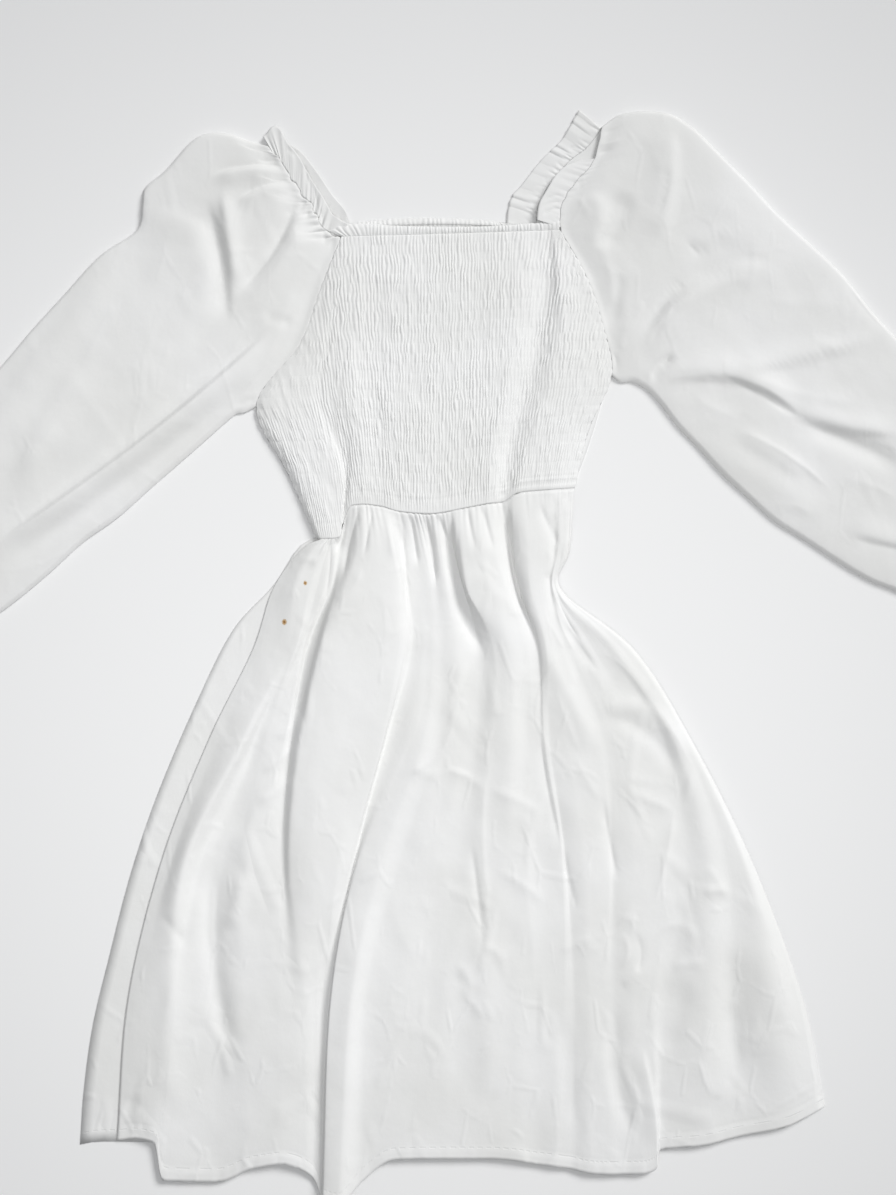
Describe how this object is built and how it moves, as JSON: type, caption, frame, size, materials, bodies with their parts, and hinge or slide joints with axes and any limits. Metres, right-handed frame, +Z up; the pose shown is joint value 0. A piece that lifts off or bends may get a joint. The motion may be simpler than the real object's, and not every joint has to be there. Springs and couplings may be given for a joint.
{
  "type": "peasant dress",
  "caption": "Short white peasant dress laid flat, front up, with a square neck, smocked bodice, frilled balloon sleeves and a gathered skirt.",
  "frame": {"origin": "on the surface that the dress lies on, under the skirt back, about 120 mm below the middle of the waist seam", "axes": "+X runs across the dress to the right as seen from above, +Y from its hem to its neck, +Z up from the surface through the back to the front"},
  "size_m": [1.1756, 0.9329, 0.015],
  "materials": {
    "smocked_cotton": "white cotton shirred on elastic thread",
    "casing_cotton": "white cotton folded over elastic",
    "sleeve_cotton": "plain white cotton",
    "frill_cotton": "plain white cotton with a turned edge",
    "skirt_cotton": "plain white cotton with a turned hem"
  },
  "bodies": {
    "root": {"bodice_front": "smocked_cotton", "bodice_back": "smocked_cotton", "neck_casing_front": "casing_cotton", "neck_casing_back": "casing_cotton", "sleeve_left": "sleeve_cotton", "sleeve_right": "sleeve_cotton", "neck_frill_left_front": "frill_cotton", "neck_frill_left_back": "frill_cotton", "neck_frill_right_front": "frill_cotton", "neck_frill_right_back": "frill_cotton", "cuff_left": "casing_cotton", "cuff_right": "casing_cotton", "skirt_front": "skirt_cotton", "skirt_back": "skirt_cotton"}
  },
  "joints": []
}
